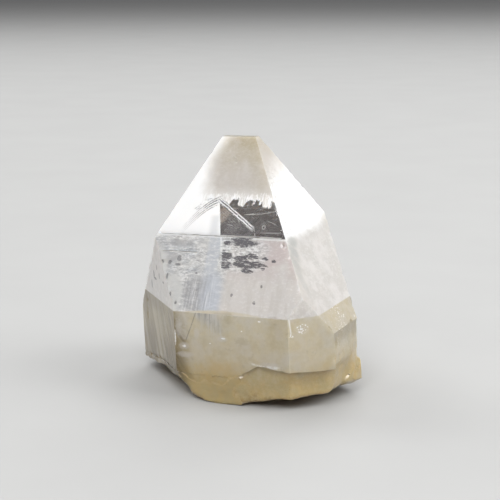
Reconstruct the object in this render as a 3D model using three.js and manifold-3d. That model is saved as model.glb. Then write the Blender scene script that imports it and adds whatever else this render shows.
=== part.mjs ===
// A single apophyllite crystal, standing on its broken root.
// Millimetres, +Z up. The crystal grew as one piece, so it is one solid: a square prism with its
// corners cut off by striated side faces, a steep four-sided pyramid, a small flat tip, and the rough
// surface below where the crystal broke away from its rock.
// Directions round the crystal are compass angles: 0 faces the front (-Y) and 90 faces the right (+X).

import * as THREE from "three";
import { ConvexGeometry } from "three/addons/geometries/ConvexGeometry.js";
import { mergeVertices } from "three/addons/utils/BufferGeometryUtils.js";
import Module from "manifold-3d";

// The whole crystal
const HEIGHT = 45.6; // from the resting plane to the flat tip
const TURN = -25.5; // compass angle of the front pyramid face
const LEAN = 2.5; // degrees that the long axis leans to the left
const PYRAMID_ANGLE = 60.4; // pyramid face from the basal plane: apophyllite's own angle
const TIP_LENGTH = 6.7; // the flat tip, along the front pyramid face
const TIP_WIDTH = 1.5; // and across it

// The eight upright faces in order round the crystal: compass angle from the front pyramid face,
// distance from the long axis, and how many striations run up it
const UPRIGHT_FACES = [
  { angle: 0, distance: 17.2, striations: 0 },
  { angle: 45, distance: 23.3, striations: 3 },
  { angle: 90, distance: 21.8, striations: 0 },
  { angle: 135, distance: 15.2, striations: 11 },
  { angle: 180, distance: 18.1, striations: 0 },
  { angle: 225, distance: 19.5, striations: 7 },
  { angle: 270, distance: 21.6, striations: 0 },
  { angle: 315, distance: 16.7, striations: 9 },
];
const STRIATION_DEPTH = 0.22; // the deepest striation

// The broken root, at compass angles round the crystal. rim is the height at which the underside
// meets the sides, foot is the width of the flat that the crystal stands on, line is the height
// where the flat faces stop, and bite is how far the break is set back below that line.
const ROOT = [
  { angle: -172, rim: 1.6, foot: 12.5, line: 5.2, bite: 0.7 },
  { angle: -150, rim: 2.3, foot: 13.0, line: 6.6, bite: 0.9 },
  { angle: -128, rim: 1.7, foot: 13.5, line: 4.2, bite: 0.4 },
  { angle: -112, rim: 1.9, foot: 12.5, line: 2.8, bite: 0.0 },
  { angle: -93, rim: 2.7, foot: 11.5, line: 3.8, bite: 0.0 },
  { angle: -76, rim: 3.5, foot: 10.0, line: 4.5, bite: 0.1 },
  { angle: -60, rim: 3.2, foot: 10.0, line: 4.4, bite: 0.1 },
  { angle: -48, rim: 3.5, foot: 11.0, line: 4.6, bite: 0.1 },
  { angle: -44, rim: 3.3, foot: 12.5, line: 4.4, bite: 0.1 },
  { angle: -39, rim: 1.3, foot: 14.5, line: 3.6, bite: 0.1 },
  { angle: -33, rim: 0.4, foot: 15.6, line: 3.2, bite: 0.1 },
  { angle: -19, rim: 0.0, foot: 16.0, line: 3.4, bite: 0.1 },
  { angle: -7, rim: 0.2, foot: 16.4, line: 5.6, bite: 0.3 },
  { angle: 4, rim: 1.2, foot: 15.6, line: 7.9, bite: 0.8 },
  { angle: 15, rim: 2.1, foot: 15.0, line: 7.4, bite: 1.0 },
  { angle: 31, rim: 2.5, foot: 14.5, line: 7.2, bite: 1.1 },
  { angle: 46, rim: 2.6, foot: 14.0, line: 7.6, bite: 1.1 },
  { angle: 62, rim: 1.9, foot: 14.0, line: 7.0, bite: 0.3 },
  { angle: 74, rim: 1.2, foot: 13.5, line: 4.2, bite: 0.1 },
  { angle: 96, rim: 1.5, foot: 11.5, line: 4.4, bite: 0.4 },
  { angle: 122, rim: 2.6, foot: 11.0, line: 6.4, bite: 0.9 },
  { angle: 148, rim: 1.4, foot: 12.0, line: 7.0, bite: 1.0 },
  { angle: 170, rim: 1.0, foot: 12.5, line: 5.8, bite: 0.8 },
];
const RIPPLE = 0.35; // height of the shell-like ripples on the break
const ROOT_SIDES = 120; // facets round the break
const BREAK_RINGS = 6; // facets between the rim and the line

// The corners of a jagged spur at the foot of the right corner: compass angle, distance, height
const SPUR = [
  [63.7, 21.7, 6.6],
  [64.3, 22.2, 2.7],
  [49.0, 22.2, 3.4],
  [77.0, 17.9, 3.0],
  [64.0, 20.8, 1.3],
  [64.0, 15.0, 4.0],
];

// Shallow shell-shaped chips out of the corners at the back: compass angle, distance from the axis,
// height, and radii along the side, outwards and upwards
const CHIPS = [
  { angle: 144, out: 25.3, height: 9.0, radii: [8.0, 8.0, 8.0] },
  { angle: 182, out: 26.4, height: 14.5, radii: [7.0, 7.0, 9.0] },
  { angle: -131, out: 30.2, height: 6.5, radii: [9.0, 9.0, 7.0] },
];
const CHIP_DETAIL = 8; // how finely a chip's hollow is faceted

// Level cleavage cracks that open on the front pyramid face. height is where the lower lip lies on
// the axis, and the outline runs round the crack: how far across the front face, to the right, and
// how far out from the axis, to the front.
const CRACK_GAP = 0.1; // how far a crack's lips are apart
const CRACKS = [
  {
    height: 29.0,
    outline: [
      [-12.1, 12],
      [-11.6, 6],
      [-9.5, -2.5],
      [-3.0, -6.8],
      [4.5, -6.0],
      [9.6, -1.0],
      [11.5, 6],
      [12.0, 12],
    ],
  },
  {
    height: 26.2,
    outline: [
      [-11.2, 14],
      [-10.8, 9],
      [-7.5, 6.8],
      [-4.2, 8.6],
      [-3.4, 14],
    ],
  },
];

const wasm = await Module();
wasm.setup();

const radians = THREE.MathUtils.degToRad;

// The flat direction that a compass angle points in
function heading(angle) {
  return new THREE.Vector2(Math.sin(radians(angle)), -Math.cos(radians(angle)));
}

// A repeatable number from 0 to 1 for a whole number
function scatter(index) {
  const wave = Math.sin(index * 127.1 + 311.7) * 43758.5453;
  return wave - Math.floor(wave);
}

// A closed three.js geometry as a solid
function solidFrom(geometry) {
  const bare = geometry.clone();
  bare.deleteAttribute("normal");
  bare.deleteAttribute("uv");
  const merged = mergeVertices(bare, 1e-4);
  return new wasm.Manifold(
    new wasm.Mesh({
      numProp: 3,
      vertProperties: merged.attributes.position.array,
      triVerts: new Uint32Array(merged.index.array),
    }),
  );
}

// A solid as a three.js geometry with flat facets
function geometryFrom(solid) {
  const mesh = solid.getMesh();
  const geometry = new THREE.BufferGeometry();
  geometry.setAttribute("position", new THREE.BufferAttribute(mesh.vertProperties, 3));
  geometry.setIndex(new THREE.BufferAttribute(mesh.triVerts, 1));
  const faceted = geometry.toNonIndexed();
  faceted.computeVertexNormals();
  return faceted;
}

// The crystal's own axes, set upright, are tipped to the left by the lean
const leaning = new THREE.Quaternion().setFromAxisAngle(new THREE.Vector3(0, 1, 0), -radians(LEAN));

// Where two neighbouring upright faces meet, seen from above
function cornerBetween(face, next) {
  const a = heading(TURN + face.angle);
  const b = heading(TURN + next.angle);
  const spread = a.x * b.y - a.y * b.x;
  return new THREE.Vector2(
    (face.distance * b.y - next.distance * a.y) / spread,
    (next.distance * a.x - face.distance * b.x) / spread,
  );
}

// Points along a striated face, from one corner to the next: shallow uneven grooves, pressed inwards
function striatedEdge(from, to, face, seed) {
  const inward = heading(TURN + face.angle).negate();
  const points = [];
  for (let i = 1; i < 2 * face.striations; i += 1) {
    const along = (i + 0.7 * (scatter(seed + i) - 0.5)) / (2 * face.striations);
    const depth = i % 2 ? STRIATION_DEPTH * (0.3 + 0.7 * scatter(seed + 50 + i)) : 0;
    points.push(from.clone().lerp(to, along).addScaledVector(inward, depth));
  }
  return points;
}

// The prism's outline seen from above
function prismOutline() {
  const count = UPRIGHT_FACES.length;
  const outline = [];
  UPRIGHT_FACES.forEach((face, i) => {
    const before = UPRIGHT_FACES[(i + count - 1) % count];
    const after = UPRIGHT_FACES[(i + 1) % count];
    const from = cornerBetween(before, face);
    const to = cornerBetween(face, after);
    outline.push(from, ...striatedEdge(from, to, face, 100 * i));
  });
  return outline;
}

// The upright prism, cut by the four pyramid faces and the flat tip
function crystalFaces() {
  const below = 4; // the prism starts under the resting plane and is broken off later
  const prism = new THREE.ExtrudeGeometry(new THREE.Shape(prismOutline()), {
    depth: HEIGHT + 2 * below,
    bevelEnabled: false,
  });
  prism.translate(0, 0, -below);
  prism.applyQuaternion(leaning);
  let solid = solidFrom(prism);

  const steep = radians(PYRAMID_ANGLE);
  [TIP_WIDTH, TIP_LENGTH, TIP_WIDTH, TIP_LENGTH].forEach((across, i) => {
    const flat = heading(TURN + 90 * i).multiplyScalar(Math.sin(steep));
    const normal = new THREE.Vector3(flat.x, flat.y, Math.cos(steep));
    const distance = (across / 2) * Math.sin(steep) + HEIGHT * Math.cos(steep);
    normal.applyQuaternion(leaning).negate();
    solid = solid.trimByPlane(normal.toArray(), -distance);
  });
  const down = new THREE.Vector3(0, 0, -1).applyQuaternion(leaning);
  return solid.trimByPlane(down.toArray(), -HEIGHT);
}

// Distance from the axis to the prism's side at a compass angle
function prismReach(angle) {
  const reaches = UPRIGHT_FACES.map((face) => {
    const off = Math.cos(radians(angle - TURN - face.angle));
    return off > 0.05 ? face.distance / off : Infinity;
  });
  return Math.min(...reaches);
}

// The root's measures at any compass angle, eased between the listed ones
function rootAt(angle) {
  const count = ROOT.length;
  const turned = ((angle + 172) % 360 + 360) % 360 - 172;
  let i = ROOT.findIndex((entry) => entry.angle > turned);
  i = i < 0 ? count : i;
  const from = ROOT[i - 1];
  const to = ROOT[i % count];
  const span = (i === count ? to.angle + 360 : to.angle) - from.angle;
  const share = THREE.MathUtils.smoothstep((turned - from.angle) / span, 0, 1);
  const mix = (key) => THREE.MathUtils.lerp(from[key], to[key], share);
  return { rim: mix("rim"), foot: mix("foot"), line: mix("line"), bite: mix("bite") };
}

// Shell-like ripples on the broken surface
function ripple(angle, height) {
  const a = radians(angle);
  const slow = Math.sin(5 * a + 0.9 * height) * Math.cos(3 * a - 0.5 * height);
  const quick = Math.sin(13 * a - 1.7 * height + 2 * Math.sin(4 * a));
  return RIPPLE * (0.65 * slow + 0.35 * quick);
}

// A closed solid through rings of points, one above the other, with a flat floor and a flat lid
function solidThrough(rings) {
  const count = rings[0].length;
  const points = rings.flat();
  const index = [];
  for (let r = 0; r + 1 < rings.length; r += 1) {
    for (let i = 0; i < count; i += 1) {
      const a = r * count + i;
      const b = r * count + ((i + 1) % count);
      index.push(a, b, b + count, a, b + count, a + count);
    }
  }
  const floorCentre = points.length;
  const lidCentre = floorCentre + 1;
  const lid = floorCentre - count;
  points.push(new THREE.Vector3(0, 0, rings[0][0].z));
  points.push(new THREE.Vector3(0, 0, rings.at(-1)[0].z));
  for (let i = 0; i < count; i += 1) {
    const next = (i + 1) % count;
    index.push(floorCentre, next, i);
    index.push(lidCentre, lid + i, lid + next);
  }
  const geometry = new THREE.BufferGeometry().setFromPoints(points);
  geometry.setIndex(index);
  return solidFrom(geometry);
}

// A ring of points round the crystal. place gives the distance from the axis and the height.
function ringAt(place) {
  return Array.from({ length: ROOT_SIDES }, (_, i) => {
    const angle = (360 * i) / ROOT_SIDES;
    const { reach, height } = place(angle, rootAt(angle), prismReach(angle));
    const way = heading(angle).multiplyScalar(reach);
    return new THREE.Vector3(way.x, way.y, height);
  });
}

// What the breakage left whole: the underside, the rough band set back under the line, and plenty of
// room round the flat faces above it. What it shares with the flat faces is the broken crystal.
function wholeAfterBreak() {
  const room = 4;
  const rings = [
    ringAt((angle, root) => ({ reach: root.foot, height: 0 })),
    ringAt((angle, root, side) => {
      const reach = THREE.MathUtils.lerp(root.foot, side - root.bite, 0.55);
      return { reach, height: 0.62 * root.rim + 0.3 * Math.abs(ripple(angle, reach)) };
    }),
  ];
  for (let i = 0; i <= BREAK_RINGS; i += 1) {
    const up = i / BREAK_RINGS;
    rings.push(
      ringAt((angle, root, side) => {
        const height = THREE.MathUtils.lerp(root.rim, root.line, up);
        const hollow = root.bite * (1 + 0.5 * Math.sin(Math.PI * up)) * (1 - 0.35 * up);
        const rough = 0.5 * ripple(angle, height) * Math.min(1, root.bite);
        return { reach: side - hollow + rough, height };
      }),
    );
  }
  rings.push(
    ringAt((angle, root, side) => ({ reach: side + room, height: root.line + 0.25 * ripple(angle, 0) })),
    ringAt((angle, root, side) => ({ reach: side + room, height: HEIGHT + room })),
  );
  return solidThrough(rings);
}

// The spur, as one convex lump
function spur() {
  const corners = SPUR.map(([angle, out, height]) => {
    const way = heading(angle).multiplyScalar(out);
    return new THREE.Vector3(way.x, way.y, height);
  });
  return solidFrom(new ConvexGeometry(corners));
}

// One shell-shaped chip, as the lump that it takes away
function chipLump({ angle, out, height, radii }) {
  const lump = new THREE.IcosahedronGeometry(1, CHIP_DETAIL);
  lump.scale(...radii);
  lump.rotateZ(radians(angle));
  const way = heading(angle).multiplyScalar(out);
  lump.translate(way.x, way.y, height);
  return solidFrom(lump);
}

// The thin level gap of one cleavage crack
function crackGap({ height, outline }) {
  const right = heading(TURN + 90);
  const out = heading(TURN);
  const points = outline.map(([across, outward]) =>
    right.clone().multiplyScalar(across).addScaledVector(out, outward),
  );
  const slit = new THREE.ExtrudeGeometry(new THREE.Shape(points), { depth: CRACK_GAP, bevelEnabled: false });
  slit.translate(0, 0, height);
  slit.applyQuaternion(leaning);
  return solidFrom(slit);
}

let crystalSolid = crystalFaces().intersect(wholeAfterBreak()).add(spur());
for (const chip of CHIPS) {
  crystalSolid = crystalSolid.subtract(chipLump(chip));
}
for (const crack of CRACKS) {
  crystalSolid = crystalSolid.subtract(crackGap(crack));
}

const crystalGeometry = geometryFrom(crystalSolid);
crystalGeometry.computeBoundingBox();
const box = crystalGeometry.boundingBox;

// Clear to cloudy, faintly straw-coloured mineral with a glassy surface
const crystalMaterial = new THREE.MeshStandardMaterial({
  color: 0xdcd5c6,
  roughness: 0.12,
  metalness: 0,
  transparent: true,
  opacity: 0.72,
});

const crystal = new THREE.Mesh(crystalGeometry, crystalMaterial);
crystal.name = "crystal";
crystal.position.set(
  -(box.min.x + box.max.x) / 2,
  -(box.min.y + box.max.y) / 2,
  -box.min.z,
);

const specimen = new THREE.Group();
specimen.add(crystal);

export default specimen;
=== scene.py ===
# %% [markdown]
# # An apophyllite crystal, dressed for the camera
#
# The object is one stout crystal of apophyllite, about 46 mm tall. Four steep pyramid faces rise
# to a small flat tip, striated upright faces stand under them, and the crystal rests on the
# rough root where it broke off its rock. It is one piece, so the lesson is about surface and
# depth rather than parts: the same mineral is milk-white, beige, clear over a view painted dark
# and smoky as painted shade, and honey-stained, and each of those zones has its place on the
# crystal.
#
# The imported CAD model is loaded first. It gives the place and size of every face, and
# everything below is worked out in its frame, in metres.

import math

import bmesh
import bpy
from mathutils import Matrix, Vector, kdtree, noise


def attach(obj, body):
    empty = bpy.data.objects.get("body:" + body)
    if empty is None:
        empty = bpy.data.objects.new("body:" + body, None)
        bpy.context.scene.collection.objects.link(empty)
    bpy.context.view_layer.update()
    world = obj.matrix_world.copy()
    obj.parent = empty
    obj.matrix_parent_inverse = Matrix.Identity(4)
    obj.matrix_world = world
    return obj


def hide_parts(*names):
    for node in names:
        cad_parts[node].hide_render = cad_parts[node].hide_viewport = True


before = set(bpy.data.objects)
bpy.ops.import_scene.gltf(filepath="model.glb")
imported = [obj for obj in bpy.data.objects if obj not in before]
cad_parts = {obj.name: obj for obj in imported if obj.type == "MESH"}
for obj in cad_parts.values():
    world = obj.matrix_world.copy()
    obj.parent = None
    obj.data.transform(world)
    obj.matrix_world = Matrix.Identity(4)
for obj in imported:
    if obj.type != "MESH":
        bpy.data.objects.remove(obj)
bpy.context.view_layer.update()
MM = 0.001

# %% [markdown]
# ## Directions on the crystal
#
# A crystal is easiest to describe in its own directions. Its long axis leans a little to the
# left, and its faces point in compass directions 90 degrees apart, with four more between
# them. With a height along the axis and a distance across a face, any mark on the crystal gets
# an address in millimetres that stays true from every side.

# %% The crystal's own directions
LEAN = 2.5
TURN = -25.5
PYRAMID_ANGLE = 60.4
AXIS_FOOT = Vector((0.4644, 0.9444, 0.0)) * MM
LEANING = Matrix.Rotation(math.radians(-LEAN), 3, "Y")
UP = LEANING @ Vector((0, 0, 1))


def facing(compass, steepness=90.0):
    """Where a face points: compass degrees from the front, and steepness from the axis."""
    turn, tilt = math.radians(TURN + compass), math.radians(steepness)
    level = Vector((math.sin(turn), -math.cos(turn), 0)) * math.sin(tilt)
    return LEANING @ (level + Vector((0, 0, math.cos(tilt))))


def across(compass):
    """The level direction that runs from left to right over a face."""
    turn = math.radians(TURN + compass)
    return LEANING @ Vector((math.cos(turn), math.sin(turn), 0))


PYRAMID = {name: facing(turn, PYRAMID_ANGLE) for name, turn in
           (("front", 0), ("right", 90), ("back", 180), ("left", 270))}
UPRIGHT = [facing(turn) for turn in range(0, 360, 45)]
print("front pyramid face points to", [round(value, 3) for value in PYRAMID["front"]])

# %% [markdown]
# ## Camera
#
# The camera stands 260 mm from the crystal and looks down at it by 12 degrees, as the eye does
# when a specimen is held up close. A crystal's face angles are known, so the edges in a picture
# of it tell how high the camera stood, and that is the angle used here.

# %% Camera
AIM = Vector((0.168, 1.792, 24.190)) * MM
CAMERA_DISTANCE = 260 * MM
CAMERA_HEIGHT_ANGLE = math.radians(12)
FOCAL_LENGTH = 100.8


def camera():
    lens = bpy.data.cameras.new("camera")
    lens.lens = FOCAL_LENGTH
    lens.sensor_width = 36
    lens.clip_start = 0.01
    lens.clip_end = 20
    made = bpy.data.objects.new("camera", lens)
    back = Vector((0, -math.cos(CAMERA_HEIGHT_ANGLE), math.sin(CAMERA_HEIGHT_ANGLE)))
    made.location = AIM + back * CAMERA_DISTANCE
    made.rotation_euler = (math.pi / 2 - CAMERA_HEIGHT_ANGLE, 0, 0)
    bpy.context.scene.collection.objects.link(made)
    bpy.context.scene.camera = made
    return made


print("camera at", [round(value, 3) for value in camera().location])

# %% [markdown]
# ## Shader maths in Python
#
# A finish here is mostly masks: where the milk ends, how deep a stain goes. Written node by
# node they are hard to read, so one small class wraps a socket, and adding or multiplying two
# of them adds the Math node. Everything else comes from one method that sets a node up.


# %% Values that vary
class Field:
    """A number, colour or vector that varies over a surface."""

    def __init__(self, finish, socket):
        self.finish = finish
        self.socket = socket

    def maths(self, operation, *values):
        return self.finish.node("ShaderNodeMath", {"operation": operation}, dict(enumerate(values)))

    def __add__(self, other):
        return self.maths("ADD", self, other)

    def __radd__(self, other):
        return self.maths("ADD", other, self)

    def __sub__(self, other):
        return self.maths("SUBTRACT", self, other)

    def __rsub__(self, other):
        return self.maths("SUBTRACT", other, self)

    def __mul__(self, other):
        return self.maths("MULTIPLY", self, other)

    def __rmul__(self, other):
        return self.maths("MULTIPLY", other, self)

    def __abs__(self):
        return self.maths("ABSOLUTE", self)

    def most(self, other):
        return self.maths("MAXIMUM", self, other)

    def least(self, other):
        return self.maths("MINIMUM", self, other)

    def past(self, edge, softness):
        """0 before the edge, 1 after it, and smooth over the softness on either side."""
        sockets = {"Value": self, "From Min": edge - softness, "From Max": edge + softness}
        return self.finish.node("ShaderNodeMapRange", {"interpolation_type": "SMOOTHSTEP"}, sockets)

    def between(self, low, high, softness):
        """1 between two edges, with the same softness at both."""
        return self.past(low, softness) * (1 - self.past(high, softness))


# %% [markdown]
# ## Clear mineral and milk
#
# Apophyllite is as clear as glass where it is sound, and milky where tiny bubbles and cracks
# fill it. One shader for both would blur the clear places, so a finish mixes two: clear glass,
# and a cloudy body that scatters light under a polished coat. A mask called milk says where
# each is seen, and a faint absorption warms the light that crosses the crystal.


# %% Finishes
REFRACTION = 1.535


class Finish:
    """A material with nodes, measured in millimetres in the crystal's own directions."""

    def __init__(self, name):
        self.material = bpy.data.materials.new(name)
        self.material.use_nodes = True
        self.tree = self.material.node_tree
        self.tree.nodes.clear()
        place = self.node("ShaderNodeTexCoord", output="Object")
        from_foot = self.vector("SUBTRACT", place, AXIS_FOOT)
        self.place = self.node("ShaderNodeVectorMath", {"operation": "SCALE"},
                               {0: from_foot, "Scale": 1 / MM})
        self.height = self.along(UP)

    def node(self, kind, settings=None, sockets=None, output=0):
        """Any node: its settings come first, then the values or links of its sockets."""
        made = self.tree.nodes.new(kind)
        for name, value in (settings or {}).items():
            setattr(made, name, value)
        for name, value in (sockets or {}).items():
            if isinstance(value, Field):
                self.tree.links.new(value.socket, made.inputs[name])
            else:
                made.inputs[name].default_value = value
        return Field(self, made.outputs[output]) if made.outputs else made

    def vector(self, operation, *values, output=0):
        return self.node("ShaderNodeVectorMath", {"operation": operation},
                         dict(enumerate(values)), output)

    def along(self, direction):
        """How far a point lies in that direction from the foot of the axis."""
        return self.vector("DOT_PRODUCT", self.place, direction, output="Value")

    def address(self, compass, stretch):
        """Across and height on a face as one vector, for patterns that follow the face."""
        wide = self.along(across(compass)) * stretch[0]
        return self.node("ShaderNodeCombineXYZ", None, {"X": wide, "Y": self.height * stretch[1]})

    def cloud(self, size, detail, rough, where=None, shift=0.0):
        """Soft noise around 0.5, with lumps of that size in millimetres."""
        where = where or self.place
        moved = self.vector("ADD", where, (shift, shift * 0.7, -shift))
        sockets = {"Vector": moved, "Scale": 1 / size, "Detail": detail, "Roughness": rough}
        return self.node("ShaderNodeTexNoise", None, sockets)

    def tint(self, under, over, amount):
        """One colour laid over another."""
        sockets = {0: amount, 6: under, 7: over}
        return self.node("ShaderNodeMix", {"data_type": "RGBA"}, sockets, output=2)

    def relief(self, height, depth):
        """Bump of that depth in millimetres."""
        sockets = {"Height": height, "Distance": depth * MM, "Strength": 1.0}
        return self.node("ShaderNodeBump", None, sockets)

    def mineral(self, colour, milk, normal):
        """Mineral with milk in it: clear glass where milk is 0, and cloudy where it is 1."""
        clear = self.node("ShaderNodeBsdfPrincipled", None, {
            "Base Color": (1, 1, 1, 1), "IOR": REFRACTION, "Transmission Weight": 1.0,
            "Roughness": 0.03, "Normal": normal})
        milky = self.node("ShaderNodeBsdfPrincipled", None, {
            "Base Color": colour, "IOR": REFRACTION, "Transmission Weight": 0.3,
            "Roughness": 0.3, "Subsurface Weight": 0.6, "Subsurface Scale": 3.0 * MM,
            "Subsurface Radius": (1.0, 0.9, 0.8), "Coat Weight": 0.6, "Coat Roughness": 0.04,
            "Coat IOR": REFRACTION, "Normal": normal})
        both = self.node("ShaderNodeMixShader", None, {0: milk, 1: clear, 2: milky})
        inside = self.node("ShaderNodeVolumeAbsorption", None,
                           {"Color": (0.93, 0.88, 0.80, 1), "Density": 12.0})
        self.node("ShaderNodeOutputMaterial", None, {"Surface": both, "Volume": inside})
        return self.material


FINISHES = []


def keep(material):
    """Gives a finish the next number on the crystal, and says how much went into it."""
    FINISHES.append(material)
    print(material.name, "has", len(material.node_tree.nodes), "nodes")
    return len(FINISHES) - 1


def tone(red, green, blue):
    """A screen colour, 0 to 255, as the linear colour that a shader takes."""
    linear = [((value / 255 + 0.055) / 1.055) ** 2.4 for value in (red, green, blue)]
    return (*linear, 1.0)


# %% [markdown]
# ## The mineral's colours
#
# One mineral, many states: cloudy where it is full of tiny bubbles, beige where light has
# travelled far through it, bluish where fine cracks scatter it, and honey-brown where iron
# stains have crept into the broken root.

# %% Colours
MILK_WHITE = tone(253, 253, 252)
PALE_MILK = tone(210, 206, 202)
LOWER_WHITE = tone(188, 184, 178)
WARM_MILK = tone(188, 182, 174)
TIP_BEIGE = tone(174, 164, 140)
TOP_BEIGE = tone(176, 167, 154)
CRACKED_BLUE = tone(168, 172, 178)
CRACKED_PALE = tone(206, 206, 203)
HAZE_BLUE = tone(192, 198, 207)
PINK_MILK = tone(196, 184, 182)
# Dark of pits and fine lines, and the painted shade of the torn clear patches
DARK_MARKS_AND_SHADE = tone(74, 72, 79)
LINE_GREY = tone(148, 148, 151)
FLAW_GREY = tone(142, 146, 142)
BODY_BEIGE = tone(210, 199, 171)
BODY_GREY = tone(204, 197, 179)
DEEP_BEIGE = tone(178, 166, 134)
OLIVE = tone(186, 169, 123)
SHADED = tone(126, 108, 56)
SHADED_OLIVE = tone(94, 78, 28)
DARK_OLIVE = tone(70, 60, 30)
HONEY = tone(197, 172, 117)
HONEY_BROWN = tone(160, 123, 68)
print("white milk in linear light:", [round(value, 3) for value in MILK_WHITE])

# %% [markdown]
# ## Marks with an address
#
# Most marks on a crystal are one of two kinds: a blot, such as a pit or a torn clear patch, and
# a stroke, such as a growth line, a hairline crack or a scratch. Both are placed by their address
# on a face, in millimetres across it and up the crystal. A blot's edge is left soft, so that
# noise can tear it.


# %% Blots and strokes
def blots(place, marks):
    """1 in the middle of each oval mark, falling to 0 at its rim and below 0 outside it."""
    wide, high = place
    together = None
    for (middle, level), (half_width, half_height) in marks:
        aside = (wide - middle) * (1 / half_width)
        over = (high - level) * (1 / half_height)
        blot = 1 - aside * aside - over * over
        together = blot if together is None else together.most(blot)
    return together


def torn(ground, noise_field, strength, softness=0.1):
    """Blots with ragged edges, the more so the stronger the noise."""
    return (ground.most(-0.6) + (noise_field - 0.5) * strength).past(0.4, softness)


def strokes(place, marks):
    """1 along each thin straight mark, given by its two ends and its width."""
    wide, high = place
    together = None
    for start, end, width in marks:
        run = Vector(end) - Vector(start)
        length = run.length
        run.normalize()
        from_start = (wide - start[0], high - start[1])
        along = from_start[0] * run.x + from_start[1] * run.y
        aside = from_start[0] * run.y - from_start[1] * run.x
        near = 1 - abs(aside).past(width * 0.5, width * 0.4)
        stroke = near * along.between(0, length, min(0.4, length * 0.2))
        together = stroke if together is None else together.most(stroke)
    return together


# %% [markdown]
# ## Levels that every face shares
#
# Apophyllite grows and splits in level sheets, so the marks that run right round the crystal
# are level too: the shoulder, below which the mineral turns from white to beige, and the
# stained root under it. Under the shoulder the light has come a long way through the crystal,
# so its colour drifts in slow clouds, with warm spots and fine flecks in it.

# %% Levels
SHOULDER = 16.6
ROOT_LEVEL = 6.5
TIP_LEVEL = 45.6
TIP_HALF_WIDTH = 3.35
TIP_HALF_DEPTH = 0.75
# How far the ridge between two pyramid faces runs out for each millimetre that it falls
RIDGE_RUN = round(1 / math.tan(math.radians(PYRAMID_ANGLE)), 3)
print("shoulder at", SHOULDER, "mm, tip at", TIP_LEVEL, "mm, ridges run out by", RIDGE_RUN)


def flecks(face, size, shift, share=0.0):
    """Small bright or dark specks in loose swarms."""
    speck = face.cloud(size, 3.0, 0.6, shift=shift).past(0.69 - share, 0.02)
    swarm = face.cloud(4.5, 2.0, 0.5, shift=shift + 5).past(0.5, 0.08)
    return speck * swarm


def body_colour(face, above, bulge=0.0):
    """The crystal's colour from the root up: honey, then beige, and the given colour on top.

    The shoulder, where that colour starts, lies higher by the bulge.
    """
    high = face.height
    soft = face.cloud(5.0, 3.0, 0.5)
    lumps = face.cloud(2.2, 4.0, 0.6, shift=41.0)
    grain = face.cloud(0.8, 5.0, 0.7)
    colour = face.tint(BODY_BEIGE, BODY_GREY, soft.past(0.52, 0.12))
    colour = face.tint(colour, DEEP_BEIGE, (grain - 0.35).most(0.0) * 0.9)
    colour = face.tint(colour, PALE_MILK, lumps.past(0.56, 0.12) * 0.28)
    colour = face.tint(colour, OLIVE, (1 - lumps.past(0.42, 0.1)) * 0.3)
    colour = face.tint(colour, PALE_MILK, flecks(face, 0.3, 27.0) * 0.7)
    colour = face.tint(colour, DEEP_BEIGE, flecks(face, 0.4, 33.0) * 0.25)
    stain = high + (soft - 0.5) * 7.0
    honey = face.tint(HONEY, OLIVE, lumps.past(0.52, 0.12) * 0.7)
    colour = face.tint(honey, colour, stain.past(ROOT_LEVEL, 2.6))
    edge = high + (grain - 0.5) * 0.25 - bulge
    return face.tint(colour, above, edge.past(SHOULDER, 0.1))


# %% [markdown]
# ## Front pyramid face
#
# This face tells the crystal's story, so it is put together from more marks than any other,
# each with its own small function. Its top is beige milk that ends in a ragged, dripping
# line. Under it, to the right of a straight edge, lies a clear window onto a crack wall that is
# painted dark and smoky, as painted shade, and to the left of it bright white milk. A
# roof-shaped pair of fine parallel growth lines crosses both. The level cleavage crack bounds
# them, and below it the milk turns bluish and crinkled on the left, and pinkish on the right,
# with torn clear patches there that are painted dark, as painted shade.

# %% Where things lie on the front pyramid face
CRACK_LEVEL = 29.06
DRIP_LEVEL = 34.7
ROOF_TOP = (-1.5, 35.4)
RIGHT_ARM_FALL = 0.59
LEFT_ARM_FALL = 0.376
LEFT_ARM_CURVE = 0.07
LINE_PITCH = 0.44
INNER_PITCH = 0.42
HANGING_DROPS = (((0.5, 35.0), (0.5, 0.7)), ((3.1, 34.5), (0.8, 1.0)), ((8.2, 34.3), (1.0, 0.9)),
                 ((5.6, 34.9), (0.4, 0.5)), ((6.7, 34.8), (0.3, 0.6)), ((-0.6, 35.2), (0.4, 0.4)))
NEAR_ROOF = (((-5.6, 33.6), (0.9, 0.5)), ((-4.6, 34.2), (0.8, 0.4)), ((-3.0, 34.9), (1.5, 0.35)))
DARK_HOLES = (((1.7, 34.8), (0.7, 0.5)), ((5.6, 34.9), (1.6, 0.35)))
TORN_PATCHES = (((4.9, 28.2), (2.7, 1.05)), ((1.9, 25.9), (1.35, 0.9)), ((2.3, 24.5), (1.3, 0.75)),
                ((7.0, 26.0), (1.3, 0.6)), ((4.9, 25.7), (1.6, 0.4)), ((6.5, 24.8), (3.6, 0.75)),
                ((6.5, 23.7), (1.2, 0.45)), ((1.7, 28.0), (0.8, 0.45)), ((9.6, 25.8), (0.7, 0.3)),
                ((11.3, 25.5), (0.4, 0.3)), ((9.4, 24.2), (0.5, 0.25)))
CRUSHED = (((5.0, 26.3), (6.0, 3.0)), ((2.0, 26.5), (2.4, 3.4)))
DARK_PITS = (((-7.2, 25.1), (0.55, 0.6)), ((-9.0, 24.4), (0.45, 0.45)), ((-10.6, 24.4), (0.3, 0.5)),
             ((-7.3, 24.1), (0.7, 0.3)), ((-9.0, 22.2), (0.25, 0.6)), ((-7.7, 19.3), (0.25, 0.7)),
             ((-6.3, 18.0), (0.3, 0.4)), ((8.9, 18.8), (0.35, 0.4)), ((9.8, 21.4), (0.3, 0.3)),
             ((-3.3, 22.9), (0.3, 0.2)), ((4.4, 19.8), (0.3, 0.3)))
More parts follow.
